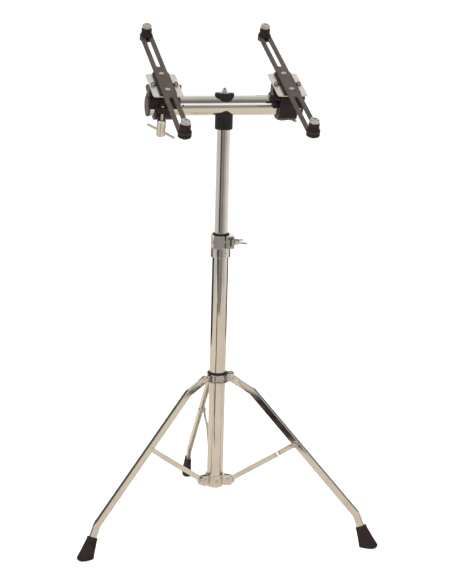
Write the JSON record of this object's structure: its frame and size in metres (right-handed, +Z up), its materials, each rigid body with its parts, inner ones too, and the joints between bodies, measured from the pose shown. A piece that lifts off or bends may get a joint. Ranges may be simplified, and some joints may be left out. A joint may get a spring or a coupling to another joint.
{
  "type": "percussion pad stand",
  "caption": "Folding tripod stand with a telescoping column and a cross tube whose two clamped, slotted arms carry a percussion pad on adjustable rubber posts.",
  "frame": {"origin": "on the floor, on the axis of the column", "axes": "+Z up the column, +X along the cross tube to the right of a player who stands at the front, -Y towards the front, where the arms are lowest"},
  "size_m": [0.5918, 0.5711, 0.9881],
  "materials": {
    "chrome": "polished",
    "satin_plate": "satin",
    "bolt_steel": "satin",
    "powder_coat": "fine grained matte",
    "cast_black": "semi-gloss",
    "black_plastic": "matte",
    "end_cap": "matte",
    "rubber": "matte",
    "cap_silver": "satin"
  },
  "bodies": {
    "base": {"lower_tube": "chrome", "lower_collar": "chrome", "collar_pins": "chrome", "collar_screw": "chrome", "height_clamp": "chrome", "clamp_bush": "black_plastic", "clamp_bolt": "chrome"},
    "hub": {"leg_hub": "chrome", "hub_bush": "black_plastic", "hub_rivets": "chrome"},
    "hub_screw": {"hub_thumb_screw": "chrome"},
    "wing_nut": {"wing_nut": "chrome"},
    "column": {"upper_tube": "chrome"},
    "bar": {"bar_sleeve": "black_plastic", "cross_tube": "chrome", "saddle_cap": "black_plastic", "bar_bolt": "chrome", "bar_end_caps": "end_cap"},
    "leg_rear": {"leg_rear": "chrome", "foot_rear": "rubber", "stay_rivet_rear": "chrome"},
    "stay_rear": {"stay_rear": "chrome"},
    "leg_left": {"leg_left": "chrome", "foot_left": "rubber", "stay_rivet_left": "chrome"},
    "stay_left": {"stay_left": "chrome"},
    "leg_right": {"leg_right": "chrome", "foot_right": "rubber", "stay_rivet_right": "chrome"},
    "stay_right": {"stay_right": "chrome"},
    "liner_left": {"clamp_liner_left": "black_plastic"},
    "clamp_left": {"clamp_body_left": "cast_black", "clamp_jaw_left": "cast_black", "hinge_pin_left": "chrome", "arm_plate_left": "satin_plate", "plate_bolts_left": "bolt_steel", "arm_spacer_left": "black_plastic", "slotted_arm_left": "powder_coat", "arm_screws_left": "bolt_steel"},
    "screw_left": {"clamp_screw_left": "chrome"},
    "rod_left": {"clamp_rod_left": "chrome"},
    "post_left_front": {"post_bumper_left_front": "rubber", "post_cap_left_front": "cap_silver"},
    "post_left_rear": {"post_bumper_left_rear": "rubber", "post_cap_left_rear": "cap_silver"},
    "liner_right": {"clamp_liner_right": "black_plastic"},
    "clamp_right": {"clamp_body_right": "cast_black", "clamp_jaw_right": "cast_black", "hinge_pin_right": "chrome", "arm_plate_right": "satin_plate", "plate_bolts_right": "bolt_steel", "arm_spacer_right": "black_plastic", "slotted_arm_right": "powder_coat", "arm_screws_right": "bolt_steel"},
    "screw_right": {"clamp_screw_right": "chrome"},
    "rod_right": {"clamp_rod_right": "chrome"},
    "post_right_front": {"post_bumper_right_front": "rubber", "post_cap_right_front": "cap_silver"},
    "post_right_rear": {"post_bumper_right_rear": "rubber", "post_cap_right_rear": "cap_silver"}
  },
  "joints": [
    {"name": "hub_slide", "type": "slide", "parent": "base", "child": "hub", "axis": [0, 0, 1], "range_m": [0, 0.08]},
    {"name": "hub_screw_turn", "type": "hinge", "parent": "hub", "child": "hub_screw", "pos_m": [0, 0, 0.31], "axis": [0.8805, 0.4741, 0], "continuous": true},
    {"name": "height_slide", "type": "slide", "parent": "base", "child": "column", "axis": [0, 0, 1], "range_m": [-0.2, 0.15]},
    {"name": "wing_nut_turn", "type": "hinge", "parent": "base", "child": "wing_nut", "pos_m": [0.025, -0.0185, 0.586], "axis": [1, 0, 0], "continuous": true},
    {"name": "bar_swivel", "type": "hinge", "parent": "column", "child": "bar", "pos_m": [0, 0, 0.85], "axis": [0, 0, 1], "continuous": true},
    {"name": "leg_hinge_rear", "type": "hinge", "parent": "hub", "child": "leg_rear", "pos_m": [0.00095, 0.03199, 0.31], "axis": [0.9996, -0.0297, 0], "range_deg": [-18, 0.5]},
    {"name": "stay_hinge_rear", "type": "hinge", "parent": "base", "child": "stay_rear", "pos_m": [0.00089, 0.02999, 0.1], "axis": [0.9996, -0.0297, 0], "range_deg": [-0.5, 22]},
    {"name": "leg_hinge_left", "type": "hinge", "parent": "hub", "child": "leg_left", "pos_m": [-0.02817, -0.01517, 0.31], "axis": [-0.4741, 0.8805, 0], "range_deg": [-18, 0.5]},
    {"name": "stay_hinge_left", "type": "hinge", "parent": "base", "child": "stay_left", "pos_m": [-0.02641, -0.01422, 0.1], "axis": [-0.4741, 0.8805, 0], "range_deg": [-0.5, 22]},
    {"name": "leg_hinge_right", "type": "hinge", "parent": "hub", "child": "leg_right", "pos_m": [0.02723, -0.01682, 0.31], "axis": [-0.5255, -0.8508, 0], "range_deg": [-18, 0.5]},
    {"name": "stay_hinge_right", "type": "hinge", "parent": "base", "child": "stay_right", "pos_m": [0.02552, -0.01576, 0.1], "axis": [-0.5255, -0.8508, 0], "range_deg": [-0.5, 22]},
    {"name": "clamp_slide_left", "type": "slide", "parent": "bar", "child": "liner_left", "axis": [1, 0, 0], "range_m": [-0.005, 0.05]},
    {"name": "clamp_tilt_left", "type": "hinge", "parent": "liner_left", "child": "clamp_left", "pos_m": [-0.12, 0, 0.85], "axis": [1, 0, 0], "range_deg": [-40, 40]},
    {"name": "screw_turn_left", "type": "hinge", "parent": "clamp_left", "child": "screw_left", "pos_m": [-0.1265, -0.01885, 0.80404], "axis": [0, -0.3057, 0.9521], "continuous": true},
    {"name": "rod_slide_left", "type": "slide", "parent": "screw_left", "child": "rod_left", "axis": [0.5793, -0.7761, -0.2492], "range_m": [-0.022, 0.022]},
    {"name": "post_slide_left_front", "type": "slide", "parent": "clamp_left", "child": "post_left_front", "axis": [0, 0.9521, 0.3057], "range_m": [0, 0.125]},
    {"name": "post_slide_left_rear", "type": "slide", "parent": "clamp_left", "child": "post_left_rear", "axis": [0, -0.9521, -0.3057], "range_m": [0, 0.125]},
    {"name": "clamp_slide_right", "type": "slide", "parent": "bar", "child": "liner_right", "axis": [1, 0, 0], "range_m": [-0.05, 0.005]},
    {"name": "clamp_tilt_right", "type": "hinge", "parent": "liner_right", "child": "clamp_right", "pos_m": [0.12, 0, 0.85], "axis": [1, 0, 0], "range_deg": [-40, 40]},
    {"name": "screw_turn_right", "type": "hinge", "parent": "clamp_right", "child": "screw_right", "pos_m": [0.1265, 0.04208, 0.8236], "axis": [0, -0.3057, 0.9521], "continuous": true},
    {"name": "rod_slide_right", "type": "slide", "parent": "screw_right", "child": "rod_right", "axis": [-0.5793, 0.7761, 0.2492], "range_m": [-0.022, 0.022]},
    {"name": "post_slide_right_front", "type": "slide", "parent": "clamp_right", "child": "post_right_front", "axis": [0, 0.9521, 0.3057], "range_m": [0, 0.125]},
    {"name": "post_slide_right_rear", "type": "slide", "parent": "clamp_right", "child": "post_right_rear", "axis": [0, -0.9521, -0.3057], "range_m": [0, 0.125]}
  ],
  "couplings": [
    {"joint": "leg_hinge_rear", "follows": "hub_slide", "rad_per_m": -3.8397},
    {"joint": "stay_hinge_rear", "follows": "hub_slide", "rad_per_m": 4.7124},
    {"joint": "leg_hinge_left", "follows": "hub_slide", "rad_per_m": -3.8397},
    {"joint": "stay_hinge_left", "follows": "hub_slide", "rad_per_m": 4.7124},
    {"joint": "leg_hinge_right", "follows": "hub_slide", "rad_per_m": -3.8397},
    {"joint": "stay_hinge_right", "follows": "hub_slide", "rad_per_m": 4.7124}
  ]
}
